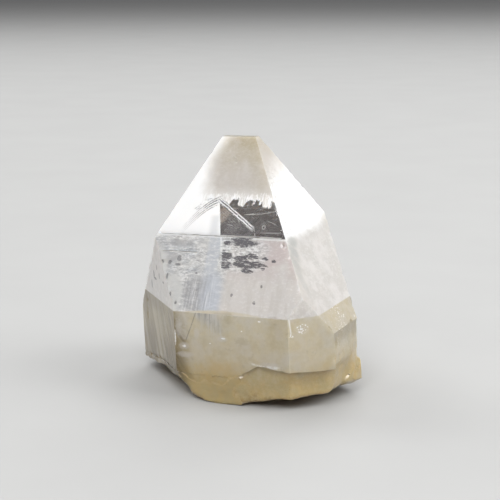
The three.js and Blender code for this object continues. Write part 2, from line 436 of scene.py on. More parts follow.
SCRATCHES = (((4.0, 32.7), (7.2, 32.95), 0.14), ((7.0, 32.9), (9.9, 33.4), 0.11),
             ((2.2, 33.1), (3.4, 31.2), 0.22), ((3.0, 31.9), (5.9, 30.8), 0.16),
             ((0.9, 31.0), (2.1, 30.9), 0.08), ((6.2, 30.9), (7.0, 28.9), 0.12),
             ((8.6, 31.9), (10.6, 31.3), 0.08), ((7.6, 29.9), (11.5, 30.0), 0.08))
WHITE_VEIN = (((0.2, 29.0), (0.5, 27.8), 0.2), ((0.5, 27.8), (1.2, 25.4), 0.3),
              ((1.2, 25.4), (1.5, 23.6), 0.26))
RING = (((8.2, 30.8), (0.42, 0.42)),)
WINDOW_EDGE_SHADE = (((-1.4, 29.0), (-1.5, 32.4), 1.7),)
GREY_SHADES = (((-9.6, 25.3), (2.6, 1.2)), ((-2.4, 19.6), (3.4, 3.4)), ((-7.5, 27.6), (3.2, 0.7)))
CREAM_PATCHES = (((-7.6, 19.0), (2.4, 4.2)), ((-11.6, 22.6), (2.6, 5.0)))
PINK_GLOW = (((10.0, 26.8), (4.2, 2.6)),)
SHOULDER_BULGE = (((3.4, 16.6), (8.0, 9.0)),)
print("torn dark patches on the front face:", len(TORN_PATCHES), "and pits:", len(DARK_PITS))


def ruled(face, fall, pitch, shift):
    """Parallel growth lines, uneven as if ruled by hand, one for each step of falling ground."""
    waver = face.cloud(1.5, 5.0, 0.7, shift=shift) * pitch * 0.9
    wave = face.node("ShaderNodeMath", {"operation": "SINE"},
                     {0: (fall + waver) * (2 * math.pi / pitch)})
    broken = face.cloud(0.8, 5.0, 0.75, shift=shift + 7).past(0.44, 0.04)
    return wave.past(0.0, 0.2) * broken


def roof(face, wide, high):
    """Where the two arms of the roof lie, and the fine dark lines in and under them."""
    right = wide - ROOF_TOP[0]
    left = ROOF_TOP[0] - wide
    right_fall = (ROOF_TOP[1] - high) - right * RIGHT_ARM_FALL
    right_arm = right_fall.between(-0.05, 0.9, 0.05) * right.between(0.0, 7.6, 0.4)
    inner = right_fall.between(1.2, 2.9, 0.3) * right.between(0.6, 4.6, 0.4)
    left_fall = (ROOF_TOP[1] - high) - left * LEFT_ARM_FALL - left * left * LEFT_ARM_CURVE
    left_arm = left_fall.between(-0.2, 1.3, 0.2) * left.between(0.0, 6.4, 0.8)
    faded = 1 - left.past(3.6, 2.4) * 0.8
    right_lines = ruled(face, right_fall, LINE_PITCH, 14.0) * right_arm
    inner_lines = ruled(face, right_fall, INNER_PITCH, 18.0) * inner
    left_lines = ruled(face, left_fall, LINE_PITCH, 24.0) * left_arm * faded
    return right_arm, right_lines, inner_lines, left_arm, left_lines


# %% The beige top and its dripping edge
def dripping_edge(face, place):
    """Height with teeth, drops and holes in it, so that a level cut through it drips."""
    teeth = face.cloud(0.3, 5.0, 0.75, face.address(0, (1.0, 0.16)))
    ragged = face.cloud(0.7, 5.0, 0.75, face.address(0, (1.0, 0.8)), 9.0)
    drip = place[1] + (ragged - 0.5) * 2.6 + (teeth - 0.5) * 3.4
    drip = drip + blots(place, HANGING_DROPS).most(0.0)
    return drip - blots(place, DARK_HOLES).most(0.0) * 0.9


def beige_top(face, place, soft, grain, drip):
    """Beige milk, whiter towards the left ridge and along the bright dripping edge."""
    wide, high = place
    from_left = wide + TIP_HALF_WIDTH + (TIP_LEVEL - high) * RIDGE_RUN
    from_right = TIP_HALF_WIDTH - wide + (TIP_LEVEL - high) * RIDGE_RUN
    top = face.tint(WARM_MILK, TIP_BEIGE, high.past(41.8, 3.6))
    top = face.tint(top, DEEP_BEIGE, (1 - (from_right + (soft - 0.5) * 4).past(2.6, 2.0)) * 0.35)
    top = face.tint(top, PALE_MILK, soft.past(0.55, 0.12) * 0.55)
    top = face.tint(top, PALE_MILK, grain.past(0.56, 0.1) * 0.3)
    glow = from_left + (soft - 0.5) * 4.0 - (41.5 - high).most(0.0) * 0.55
    top = face.tint(top, MILK_WHITE, 1 - glow.past(1.2, 2.2))
    top = face.tint(top, MILK_WHITE, (1 - (high + (soft - 0.5) * 3).past(36.2, 1.3)) * 0.4)
    whiskers = face.cloud(0.28, 4.0, 0.7, face.address(0, (1.0, 0.14)), 17.0)
    rim = drip.between(DRIP_LEVEL - 0.3, DRIP_LEVEL + 1.1, 0.4) * whiskers.past(0.46, 0.08)
    return face.tint(top, MILK_WHITE, rim * 0.9)


# %% The window and what lies beside it
def beside_window(face, place, colour, left_side):
    """Slanted grey marks by the roof's left arm, and a bluish shade along the window."""
    wide, high = place
    slanted = face.node("ShaderNodeCombineXYZ", None, {"X": high - wide * 0.75, "Y": wide * 0.3})
    marks = face.cloud(0.4, 5.0, 0.75, slanted, 12.0).past(0.52, 0.03)
    near_roof = blots(place, NEAR_ROOF).past(0.35, 0.6) * left_side
    colour = face.tint(colour, LINE_GREY, marks * near_roof * 0.8)
    shade = strokes(place, WINDOW_EDGE_SHADE) * left_side
    return face.tint(colour, CRACKED_BLUE, shade * 0.4)


def window_haze(face, place, right_arm, inner_lines):
    """What clouds the clear window: level veils, scratches, a ring and the roof's lines."""
    torn_noise = face.cloud(0.7, 5.0, 0.75, face.address(0, (0.6, 1.5)), 44.0)
    scratch = strokes(place, SCRATCHES) * torn_noise.past(0.42, 0.08)
    layered = face.cloud(0.5, 6.0, 0.8, face.address(0, (0.2, 1.5)), 7.0)
    ring = blots(place, RING).between(0.15, 0.8, 0.12)
    puffs = face.cloud(1.2, 4.0, 0.7, shift=3.0).past(0.55, 0.12)
    haze = layered.past(0.54, 0.03) * 0.14 + scratch * 0.5 + ring * 0.35 + right_arm * 0.75
    return (haze + inner_lines * 0.16 + puffs * 0.05).least(1.0)


# %% The front face above the crack
def upper_front(face, wide, high, soft, grain):
    """Colour of the milk, how clear the window is, and the growth lines, above the crack."""
    place = (wide, high)
    drip = dripping_edge(face, place)
    middle = 1 - drip.past(DRIP_LEVEL, 0.22)
    right_side = (wide + (high - ROOF_TOP[1]) * 0.25).past(ROOF_TOP[0], 0.05)
    window = middle * right_side
    colour = face.tint(beige_top(face, place, soft, grain, drip), MILK_WHITE, middle)
    colour = beside_window(face, place, colour, 1 - right_side)
    right_arm, right_lines, inner_lines, left_arm, left_lines = roof(face, wide, high)
    colour = face.tint(colour, PALE_MILK, left_arm * 0.12)
    colour = face.tint(colour, DARK_MARKS_AND_SHADE, left_lines * 0.8)
    colour = face.tint(colour, MILK_WHITE, right_arm * 0.8)
    colour = face.tint(colour, DARK_MARKS_AND_SHADE, right_lines * 0.95)
    colour = face.tint(colour, CRACKED_PALE, window * (1 - right_arm) * 0.8)
    haze = window_haze(face, place, right_arm, inner_lines)
    return colour, window * (1 - haze), left_lines.most(right_lines)


# %% Cracked and hazy milk below the crack, at the left
def cracked_left(face, place, soft, crinkle, fine):
    """Bluish, crinkled milk with grey creases, soft shades and creamy patches."""
    left = face.tint(CRACKED_BLUE, CRACKED_PALE, (crinkle * 0.6 + soft * 0.4).past(0.47, 0.12))
    left = face.tint(left, MILK_WHITE, crinkle.past(0.56, 0.05) * 0.6)
    drift = face.cloud(2.4, 4.0, 0.6, face.address(0, (0.7, 1.4)), 21.0)
    left = face.tint(left, CRACKED_PALE, drift.past(0.52, 0.06) * 0.5)
    left = face.tint(left, MILK_WHITE, fine.past(0.56, 0.04) * 0.5)
    creases = (1 - fine.past(0.45, 0.04)) * (0.8 - drift.past(0.5, 0.08) * 0.5)
    left = face.tint(left, LINE_GREY, creases)
    shade = blots(place, GREY_SHADES).most(0.0)
    left = face.tint(left, LINE_GREY, shade.past(0.3, 0.3) * 0.5)
    return face.tint(left, CRACKED_PALE, blots(place, CREAM_PATCHES).past(0.2, 0.3) * 0.8)


def blue_haze(face, place, soft, fine, left):
    """A bluish strip under the crack, and below it fog with fine upright hairs."""
    wide, high = place
    strip = wide.between(-1.9, 0.7, 0.3) * high.past(23.2, 0.8)
    left = face.tint(left, HAZE_BLUE, strip * (1 - fine.past(0.5, 0.05) * 0.6) * 0.7)
    fog = (wide + high * 0.1 + (soft - 0.5) * 4).between(0.4, 4.0, 1.3) * (1 - high.past(23.0, 1.2))
    left = face.tint(left, HAZE_BLUE, fog * 0.75)
    hair = face.cloud(1.0, 3.0, 0.65, face.address(0, (2.6, 0.14)), 8.0)
    hair_zone = (wide + high * 0.14 + (soft - 0.5) * 4).between(-2.4, 3.2, 1.2)
    hair_zone = hair_zone * (1 - (high + (fine - 0.5) * 6).past(22.0, 1.4))
    left = face.tint(left, MILK_WHITE, hair.past(0.58, 0.06) * hair_zone * 0.4)
    return face.tint(left, LINE_GREY, (1 - hair.past(0.44, 0.05)) * hair_zone * 0.5)


# %% Pink milk and torn patches below the crack, at the right
def pink_right(face, place, soft, grain):
    """Pale milk with a pink tinge, and faint upright veils lower down."""
    high = place[1]
    glow = blots(place, PINK_GLOW).past(0.2, 0.3) * 0.9
    pink = (soft.past(0.46, 0.1) * high.past(23.5, 2.5)).most(glow)
    right = face.tint(PALE_MILK, PINK_MILK, pink)
    right = face.tint(right, MILK_WHITE, grain.past(0.58, 0.1) * 0.3)
    veils = face.cloud(1.0, 4.0, 0.6, face.address(0, (0.8, 0.2)), 28.0)
    return face.tint(right, WARM_MILK, veils.past(0.55, 0.1) * (1 - high.past(24.0, 1.0)) * 0.35)


def torn_patches(face, place, soft, fine, colour):
    """Crushed milk with torn patches painted dark as painted shade, and the pits further left."""
    wide, high = place
    crushed = (blots(place, CRUSHED) + (soft - 0.5) * 2).past(0.2, 0.5) * wide.past(0.6, 0.3)
    colour = face.tint(colour, CRACKED_PALE, crushed * 0.6)
    colour = face.tint(colour, LINE_GREY, (1 - fine.past(0.465, 0.03)) * crushed * 0.6)
    colour = face.tint(colour, MILK_WHITE, fine.past(0.525, 0.03) * crushed * 0.7)
    shard = face.cloud(0.8, 6.0, 0.8, face.address(0, (0.45, 1.7)), 2.0)
    splinters = face.cloud(0.45, 5.0, 0.75, face.address(0, (0.4, 2.2)), 31.0)
    # The torn patches are clear places, painted dark here as painted shade for the dark seen
    # through them
    patches = torn(blots(place, TORN_PATCHES) + 0.15, shard, 5.0)
    patches = patches * (wide + high * 0.2).past(6.2, 0.05)
    patches = patches * (1 - splinters.past(0.57, 0.025) * 0.8)
    pits = torn(blots(place, DARK_PITS), fine, 5.0)
    colour = face.tint(colour, DARK_MARKS_AND_SHADE, (patches * 0.97).most(pits * 0.65))
    return colour, patches.most(pits)


# %% The front face below the crack
def lower_front(face, wide, high, soft, grain):
    """Colour of the milk, and where the torn patches and the pits are, below the crack."""
    place = (wide, high)
    crinkle = face.cloud(1.0, 6.0, 0.8, face.address(0, (0.42, 1.5)), 5.0)
    fine = face.cloud(0.5, 6.0, 0.8, face.address(0, (0.5, 1.3)), 15.0)
    left = cracked_left(face, place, soft, crinkle, fine)
    left = blue_haze(face, place, soft, fine, left)
    right = pink_right(face, place, soft, grain)
    colour = face.tint(left, right, (wide + (crinkle - 0.5) * 1.6).past(2.4, 0.9))
    vein = strokes(place, WHITE_VEIN) * fine.past(0.42, 0.08)
    colour = face.tint(colour, MILK_WHITE, vein)
    lip = high.between(CRACK_LEVEL - 0.32, CRACK_LEVEL, 0.1)
    colour = face.tint(colour, MILK_WHITE, lip * 0.55)
    return torn_patches(face, place, soft, fine, colour)


# %% Front pyramid face
def front_pyramid_face():
    face = Finish("front pyramid face")
    wide = face.along(across(0))
    high = face.height
    soft = face.cloud(4.5, 4.0, 0.6)
    grain = face.cloud(0.55, 5.0, 0.75, face.address(0, (0.7, 1.3)))
    upper, window, lines = upper_front(face, wide, high, soft, grain)
    lower, pits = lower_front(face, wide, high, soft, grain)
    below_crack = 1 - high.past(CRACK_LEVEL, 0.04)
    window = window * (1 - below_crack)
    bulge = blots((wide, high), SHOULDER_BULGE).most(0.0)
    colour = body_colour(face, face.tint(upper, lower, below_crack), bulge * 0.6)
    milk = 1 - window * 0.96 - below_crack * 0.1
    ripples = face.cloud(2.2, 3.0, 0.5, face.address(0, (1.0, 2.4)))
    dents = lines * 0.4 + pits * below_crack * 0.6
    normal = face.relief(ripples * 0.3 + grain * 0.2 - dents, 0.12)
    return face.mineral(colour, milk, normal)


FRONT = keep(front_pyramid_face())

# %% [markdown]
# ## The other pyramid faces
#
# The right face is the brightest: dense white milk under a beige tip, which fades to a softer
# grey-white lower down, with the soft grey shadow of a flaw beside the front face. The two
# hidden faces have the same milk, and thin clear places through which the inside shows.

# %% Right pyramid face
WHITE_END = 28.8
FLAW = (((-8.2, 28.2), (2.2, 1.2)), ((-9.6, 26.6), (1.6, 2.2)), ((-11.2, 25.0), (1.4, 2.2)),
        ((-12.1, 22.9), (1.2, 2.4)), ((-12.2, 21.0), (1.0, 2.0)))


def right_pyramid_face():
    face = Finish("right pyramid face")
    wide = face.along(across(90))
    high = face.height
    place = (wide, high)
    soft = face.cloud(4.0, 4.0, 0.6)
    grain = face.cloud(0.6, 5.0, 0.75, face.address(90, (0.8, 1.2)))
    edge = high - (wide - 3.0).most(0.0) * 0.14 + (soft - 0.5) * 2.6
    colour = face.tint(LOWER_WHITE, MILK_WHITE, edge.past(WHITE_END, 1.0))
    colour = face.tint(colour, MILK_WHITE, grain.past(0.58, 0.1) * high.past(18.0, 8.0) * 0.35)
    low_veil = face.cloud(3.0, 5.0, 0.65, shift=4.0).past(0.52, 0.12) * (1 - high.past(28.0, 2.0))
    colour = face.tint(colour, PALE_MILK, low_veil * 0.8)
    beige_top = high + (soft - 0.5) * 4.0 - wide * 0.2
    colour = face.tint(colour, TOP_BEIGE, beige_top.past(39.5, 3.2) * 0.9)
    colour = face.tint(colour, TIP_BEIGE, high.past(43.5, 2.0) * 0.6)
    from_ridge = wide + (TIP_LEVEL - high) * RIDGE_RUN + TIP_HALF_DEPTH
    beside = (1 - from_ridge.past(2.5, 3.5)) * (1 - high.past(27.0, 1.5))
    colour = face.tint(colour, WARM_MILK, beside * 0.7)
    flaw = blots(place, FLAW).most(0.0) + (grain - 0.5) * 2.2 + (soft - 0.5) * 1.2
    fading = 0.25 + high.past(24.5, 4.0) * 0.4
    colour = face.tint(colour, FLAW_GREY, flaw.past(0.55, 0.55) * fading)
    colour = face.tint(colour, LINE_GREY, flecks(face, 0.45, 13.0) * 0.3)
    far_edge = (wide - (TIP_LEVEL - high) * RIDGE_RUN - TIP_HALF_DEPTH).past(-2.6, 1.6)
    colour = face.tint(colour, BODY_GREY, far_edge * (1 - high.past(30.0, 2.0)) * 0.5)
    beside_ridge = (1 - from_ridge.past(3.5, 2.0)) * high.past(29.0, 1.0)
    colour = face.tint(colour, WARM_MILK, grain.past(0.53, 0.04) * beside_ridge * 0.45)
    colour = body_colour(face, colour)
    # Below the shoulder this face is painted darker, as painted shade, with painted sparkles
    low = 1 - high.past(SHOULDER, 0.1)
    colour = face.tint(colour, SHADED, low * 0.45)
    colour = face.tint(colour, MILK_WHITE, flecks(face, 0.35, 71.0, 0.07) * low * 0.9)
    ripples = face.cloud(2.0, 4.0, 0.55, face.address(90, (1.0, 2.2)))
    normal = face.relief(ripples + grain * 0.3, 0.08)
    return face.mineral(colour, 0.95 + soft * 0.04, normal)


RIGHT = keep(right_pyramid_face())


# %% Hidden pyramid faces
def hidden_pyramid_faces():
    face = Finish("hidden pyramid faces")
    soft = face.cloud(6.0, 4.0, 0.6)
    grain = face.cloud(0.6, 5.0, 0.75)
    high = face.height
    colour = face.tint(PALE_MILK, MILK_WHITE, (high * 0.03 + soft).past(1.35, 0.2))
    drift = face.cloud(3.0, 5.0, 0.7, shift=6.0)
    colour = face.tint(colour, CRACKED_BLUE, drift.past(0.58, 0.08) * 0.4)
    colour = face.tint(colour, MILK_WHITE, grain.past(0.58, 0.08) * 0.4)
    colour = face.tint(colour, TIP_BEIGE, high.past(42.0, 3.0))
    colour = body_colour(face, colour)
    level = face.cloud(1.6, 5.0, 0.7, face.vector("MULTIPLY", face.place, (0.35, 0.35, 1.6)), 11.0)
    thin = face.cloud(9.0, 3.0, 0.5, shift=23.0).past(0.55, 0.06) * high.between(18.0, 40.0, 2.0)
    milk = 1 - thin * level.past(0.42, 0.1) * 0.6
    normal = face.relief(face.cloud(2.0, 4.0, 0.55) + grain * 0.3, 0.08)
    return face.mineral(colour, milk, normal)


HIDDEN = keep(hidden_pyramid_faces())

# %% [markdown]
# ## Upright faces
#
# Fine striations run up these faces, some in the shape and finer ones as bump. Above the
# shoulder the mineral is white, and below it beige, with a glow as of wax. The left corner is
# clearer than the rest on the real crystal; here it is painted darker and olive, as painted
# shade, with long slanting painted lights and shadows in it. A V of two crack lines ends in a
# bright glint, a bundle of bluish hairlines hangs from the shoulder, and swarms of small
# sparkles lie under the surface.

# %% Marks on the upright front face
CRACK_V_SHADE = (((-7.6, 16.2), (-6.6, 13.8), 0.7), ((-6.6, 13.8), (-4.5, 11.0), 0.5))
CRACK_V_LIGHT = (((-4.6, 16.4), (-4.5, 13.6), 2.4), ((-4.5, 13.8), (-4.4, 11.6), 1.3))
CRACK_V_LINE = (((-1.9, 16.8), (-3.0, 14.1), 0.2), ((-3.0, 14.1), (-4.3, 11.2), 0.18))
GLINTS = (((-4.6, 10.35), (0.5, 0.26)), ((3.2, 12.3), (0.5, 0.16)), ((10.4, 15.9), (0.3, 0.18)),
          ((-6.3, 12.0), (0.16, 1.7)), ((0.6, 11.2), (0.2, 0.12)), ((6.9, 13.9), (0.18, 0.14)))
GLOWS = (((-4.6, 10.4), (1.3, 0.9)), ((-2.0, 12.8), (0.7, 1.3)), ((-4.4, 8.8), (2.2, 0.7)),
         ((-5.6, 13.6), (0.8, 2.2)), ((3.0, 12.2), (1.3, 0.7)), ((12.2, 8.2), (2.4, 0.7)))
WARM_SPOTS = (((2.3, 13.9), (1.2, 1.1)), ((4.4, 15.8), (1.0, 1.2)), ((1.4, 15.0), (0.9, 0.8)),
              ((6.7, 12.0), (1.8, 1.0)))
SPARKLES = (((1.6, 14.7), (1.2, 0.9)), ((-0.4, 13.8), (0.6, 0.5)), ((9.2, 14.4), (2.0, 0.9)))
# A painted highlight along the upper lip of the ledge
LEDGE_HIGHLIGHT = (((8.6, 8.15), (11.2, 7.75), 0.35), ((11.2, 7.75), (13.8, 7.8), 0.5))
# A painted highlight down the front corner
CORNER_HIGHLIGHT = (((-0.78, 16.8), (-0.45, 13.9), 0.26),)


def hair_bundle(face, place, colour, upright, inside):
    """Bluish hairlines that hang from the shoulder."""
    wide, high = place
    lean = wide - (SHOULDER - high) * 0.35
    hair = face.cloud(1.0, 4.0, 0.7, face.vector("MULTIPLY", upright, (2.4, 2.4, 1.2)), 8.0)
    hanging = (high + lean * 0.4 + (hair - 0.5) * 9).past(14.0, 1.4)
    bundle = lean.between(-2.2, 2.0, 0.7) * hanging * inside
    colour = face.tint(colour, HAZE_BLUE, bundle * 0.35)
    colour = face.tint(colour, LINE_GREY, (1 - hair.past(0.45, 0.05)) * bundle * 0.75)
    return face.tint(colour, PALE_MILK, hair.past(0.56, 0.05) * bundle * 0.6)


def crack_v(face, place, colour, fine, inside):
    """The V of two cracks, shaded on the left, dark along the right, and light between."""
    shade = strokes(place, CRACK_V_SHADE) * inside
    colour = face.tint(colour, SHADED_OLIVE, shade * 0.6)
    light = strokes(place, CRACK_V_LIGHT) * inside
    colour = face.tint(colour, PALE_MILK, light * (0.2 + fine.past(0.5, 0.1) * 0.3))
    line = strokes(place, CRACK_V_LINE) * fine.past(0.4, 0.1) * inside
    return face.tint(colour, DARK_MARKS_AND_SHADE, line * 0.5)


def front_marks(face, colour, high, upright):
    """All the marks below the shoulder in front."""
    place = (face.along(across(0)), high)
    inside = (1 - high.past(SHOULDER, 0.1)) * face.along(facing(0)).past(8.0, 1.0)
    fine = face.cloud(0.5, 5.0, 0.75, shift=36.0)
    warm = blots(place, WARM_SPOTS).most(0.0) + (fine - 0.5) * 3.0
    colour = face.tint(colour, DEEP_BEIGE, warm.past(0.5, 0.45) * inside * 0.45)
    colour = hair_bundle(face, place, colour, upright, inside)
    colour = crack_v(face, place, colour, fine, inside)
    glow = blots(place, GLOWS).most(0.0) + (fine - 0.5) * 1.5
    colour = face.tint(colour, PALE_MILK, glow.past(0.5, 0.45) * inside * 0.5)
    # Painted highlight along the ledge's upper lip
    lip = strokes(place, LEDGE_HIGHLIGHT) * fine.past(0.44, 0.08) * inside
    colour = face.tint(colour, MILK_WHITE, lip * 0.6)
    glints = torn(blots(place, GLINTS), fine, 3.0, 0.4) * inside
    return face.tint(colour, MILK_WHITE, glints * 0.9)


# %% Marks on the striated corners
def corner_marks(face, colour, high):
    """A painted highlight down the corner, and the sparkles on the striated face at the front
    right.
    """
    place = (face.along(across(45)), high)
    inside = (1 - high.past(SHOULDER, 0.1)) * face.along(facing(45)).past(19.0, 1.0)
    cell = face.cloud(0.34, 2.0, 0.5, shift=51.0).past(0.56, 0.03)
    sparkle = blots(place, SPARKLES).past(0.1, 0.2) * cell
    # Painted highlight down the corner
    line = strokes(place, CORNER_HIGHLIGHT)
    return face.tint(colour, MILK_WHITE, sparkle.most(line * 0.7) * inside)


def left_streaks(face, colour, high):
    """Painted olive shade, and long slanting painted lights and shadows, in the clearer left
    corner.
    """
    wide = face.along(across(-45))
    slanted = face.node("ShaderNodeCombineXYZ", None, {"X": wide + high * 0.45, "Y": high * 0.12})
    streak = face.cloud(3.0, 3.0, 0.55, slanted, 5.0)
    fine = face.cloud(1.4, 3.0, 0.5, slanted, 19.0)
    front_wide = face.along(across(0))
    left = 1 - (front_wide + (streak - 0.5) * 5).past(-5.8, 2.6)
    zone = left * (1 - high.past(SHOULDER, 0.15))
    # Painted shade over the whole corner, darker low down
    colour = face.tint(colour, SHADED, zone * 0.9)
    colour = face.tint(colour, SHADED_OLIVE, (1 - high.past(9.5, 2.5)) * zone * 0.7)
    colour = face.tint(colour, BODY_BEIGE, streak.past(0.53, 0.08) * zone * 0.45)
    under_shoulder = high.past(SHOULDER - 2.4, 1.2) * (1 - wide.past(2.0, 3.0))
    ragged = face.cloud(0.7, 6.0, 0.8, slanted, 29.0)
    colour = face.tint(colour, BODY_BEIGE, ragged.past(0.55, 0.05) * zone * 0.15)
    near_front = front_wide.between(-11.5, -6.5, 1.2)
    dark = (1 - ragged.past(0.47, 0.03)) * (0.3 + near_front * 0.7)
    colour = face.tint(colour, DARK_OLIVE, dark * zone * 0.65)
    shadow = ((1 - fine.past(0.43, 0.1)) * 0.4).most(under_shoulder)
    return face.tint(colour, SHADED_OLIVE, shadow * zone * 0.6)


# %% Upright faces
LEFT_CRACKS = (((-4.1, 20.9), (0.4, 1.1)), ((-0.6, 21.3), (0.3, 0.8)), ((-5.9, 18.8), (0.35, 1.0)),
               ((6.1, 19.4), (0.25, 0.5)), ((5.1, 22.5), (0.3, 0.6)), ((-3.2, 20.3), (1.0, 0.3)),
               ((-2.0, 22.6), (0.3, 0.7)), ((1.9, 20.6), (0.6, 0.25)), ((3.6, 22.3), (0.25, 0.5)))


def upright_faces():
    face = Finish("upright faces")
    high = face.height
    grain = face.cloud(0.8, 5.0, 0.75)
    upright = face.vector("MULTIPLY", face.place, (1, 1, 0.07))
    streaks = face.cloud(0.5, 4.0, 0.65, upright)
    above = face.tint(PALE_MILK, MILK_WHITE, grain.past(0.55, 0.15) * 0.45)
    above = face.tint(above, CRACKED_BLUE, streaks.past(0.58, 0.08) * 0.2)
    left_place = (face.along(across(-45)), high)
    ragged = face.cloud(0.5, 5.0, 0.75, upright, 2.0)
    dark = torn(blots(left_place, LEFT_CRACKS), ragged, 1.2)
    above = face.tint(above, DARK_MARKS_AND_SHADE, dark * face.along(facing(-45)).past(14.0, 0.5) * 0.8)
    colour = body_colour(face, above)
    colour = left_streaks(face, colour, high)
    colour = front_marks(face, colour, high, upright)
    colour = corner_marks(face, colour, high)
    milk = 0.9 - flecks(face, 0.8, 61.0, 0.05) * 0.07
    back = face.along(facing(180)).past(-6.0, 3.0)
    normal = face.relief(streaks * (0.03 + back * 0.45) + grain * 0.15, 0.1)
    return face.mineral(colour, milk, normal)


UPRIGHTS = keep(upright_faces())

# %% [markdown]
# ## Broken root
#
# The root is the rough, waxy break. Iron has stained it honey-yellow, olive in places, with
# browner spots along its rim and a paler line where the thin edge lets light through. Its upper
# chips are painted darker, as painted shade, with painted sparkles in them.

# %% Broken root
def broken_root():
    root = Finish("broken root")
    high = root.height
    grain = root.cloud(0.6, 5.0, 0.72)
    soft = root.cloud(2.5, 5.0, 0.6, shift=4.0)
    colour = body_colour(root, PALE_MILK)
    honey = root.tint(HONEY, OLIVE, root.cloud(3.6, 4.0, 0.6, shift=12.0).past(0.5, 0.1))
    colour = root.tint(colour, honey, soft.past(0.42, 0.15) * (1 - high.past(9.0, 2.0)) * 0.8)
    colour = root.tint(colour, BODY_BEIGE, grain.past(0.56, 0.12) * 0.22)
    rim = 1 - (high + (soft - 0.5) * 4.0).past(2.2, 1.4)
    spots = root.cloud(0.9, 5.0, 0.7, shift=6.0).past(0.54, 0.08)
    colour = root.tint(colour, HONEY_BROWN, rim * spots * 0.7)
    colour = root.tint(colour, HONEY_BROWN, flecks(root, 0.4, 16.0) * 0.8)
    thin_edge = 1 - (high + (soft - 0.5) * 1.2).past(0.7, 0.35)
    colour = root.tint(colour, PALE_MILK, thin_edge * 0.5)
    # Painted shade and painted sparkles on the chips high on the root
    chip = high.past(10.5, 1.5)
    colour = root.tint(colour, SHADED, chip * 0.45)
    colour = root.tint(colour, MILK_WHITE, flecks(root, 0.35, 71.0, 0.04) * chip * 0.9)
    normal = root.relief(soft * 0.8 + grain * 0.25, 0.15)
    return root.mineral(colour, 0.92 + grain * 0.05, normal)


ROOT = keep(broken_root())

# %% [markdown]
# ## The cleavage cracks
#
# Apophyllite splits cleanly in level planes. The long crack that shows as a level line on the
# front face runs far into the crystal, and through the clear window its upper wall is what one
# sees: a smooth sheet painted dark and smoky, with faint streaks, as painted shade. The lower
# walls, and the upper wall near the mouth, are painted pale, as painted light, so that the
# crack's mouth stays a light line. A shorter crack lies under the long one.


# %% Walls of the cleavage cracks
# How far out from the axis the long crack's mouth starts
MOUTH = 9.5
# Colours of the dark, smoky sheet inside the window, which are painted shade
PAINTED_SHADE_DEEP = tone(52, 49, 58)
PAINTED_SHADE_MID = tone(90, 86, 94)
PAINTED_SHADE_STREAK = tone(150, 146, 152)
PAINTED_SHADE_BROWN = tone(84, 68, 68)


def wall(crack, colour, roughness):
    """A plain surface that hides what lies behind it."""
    made = crack.node("ShaderNodeBsdfPrincipled", None, {
        "Base Color": colour, "Roughness": roughness, "IOR": 1.45})
    crack.node("ShaderNodeOutputMaterial", None, {"Surface": made})
    return crack.material


def shade_painted_wall():
    crack = Finish("upper wall of a crack, painted dark")
    cloud = crack.cloud(1.8, 5.0, 0.65)
    streak = crack.cloud(0.9, 5.0, 0.7, crack.address(0, (0.4, 1.0)), 3.0)
    # Painted shade: a dark, smoky sheet with faint streaks, browner at the right
    colour = crack.tint(PAINTED_SHADE_DEEP, PAINTED_SHADE_MID, cloud.past(0.5, 0.08))
    colour = crack.tint(colour, PAINTED_SHADE_STREAK, streak.past(0.56, 0.04) * 0.4)
    wide = crack.along(across(0))
    colour = crack.tint(colour, PAINTED_SHADE_BROWN, wide.past(6.4, 0.4) * 0.5)
    # Painted light: near the mouth and to the left of the window the wall is white
    mouth = crack.along(facing(0)).past(MOUTH, 0.15).most(1 - wide.past(-2.0, 0.5))
    colour = crack.tint(colour, MILK_WHITE, mouth)
    return wall(crack, colour, 0.25)


def light_painted_wall():
    crack = Finish("lower wall of a crack, painted pale")
    # Painted light: a pale wall, so that the narrow crack shows no shade
    colour = crack.tint(PALE_MILK, MILK_WHITE, crack.cloud(1.2, 4.0, 0.6).past(0.5, 0.15))
    return wall(crack, colour, 0.5)


SHADE_PAINTED_WALL = keep(shade_painted_wall())
LIGHT_PAINTED_WALL = keep(light_painted_wall())

# %% [markdown]
# ## The crystal's skin
#
# The CAD model has every face in its place, but a broken surface made of flat triangles looks
# cut, not broken. A subdivision modifier would round the crystal's true faces too, so a copy is
# divided into small triangles instead, and each of them gets the finish of the face that it
# lies on. Only then do points move, in the steps below. The pyramid faces stay flat all the way
# to the nicks along their edges, because a crystal's faces do.

# %% Divide the crystal finely
LONGEST_EDGE = 0.7 * MM
MOST_ROUNDS = 12


def divided(source):
    """The same faces in small triangles."""
    shape = bmesh.new()
    shape.from_mesh(source.data)
    bmesh.ops.remove_doubles(shape, verts=shape.verts, dist=0.001 * MM)
    bmesh.ops.dissolve_limit(shape, angle_limit=math.radians(0.3), verts=shape.verts,
                             edges=shape.edges)
    bmesh.ops.triangulate(shape, faces=shape.faces)
    for _ in range(MOST_ROUNDS):
        long_edges = [edge for edge in shape.edges if edge.calc_length() > LONGEST_EDGE]
        if not long_edges:
            break
        bmesh.ops.subdivide_edges(shape, edges=long_edges, cuts=1)
        bmesh.ops.triangulate(shape, faces=[face for face in shape.faces if len(face.verts) > 3])
    shape.normal_update()
    print("crystal divided into", len(shape.faces), "triangles")
    return shape


# %% Sort the triangles by face
FLAT_SLACK = 0.02 * MM
STRIATION_SLACK = 0.35 * MM
CRACKS_ABOVE = 25 * MM
SAME_WAY = 0.999
STRIATED_WAY = 0.75


def farthest(shape, way):
    """How far the crystal reaches in a direction."""
    return max(vertex.co.dot(way) for vertex in shape.verts)


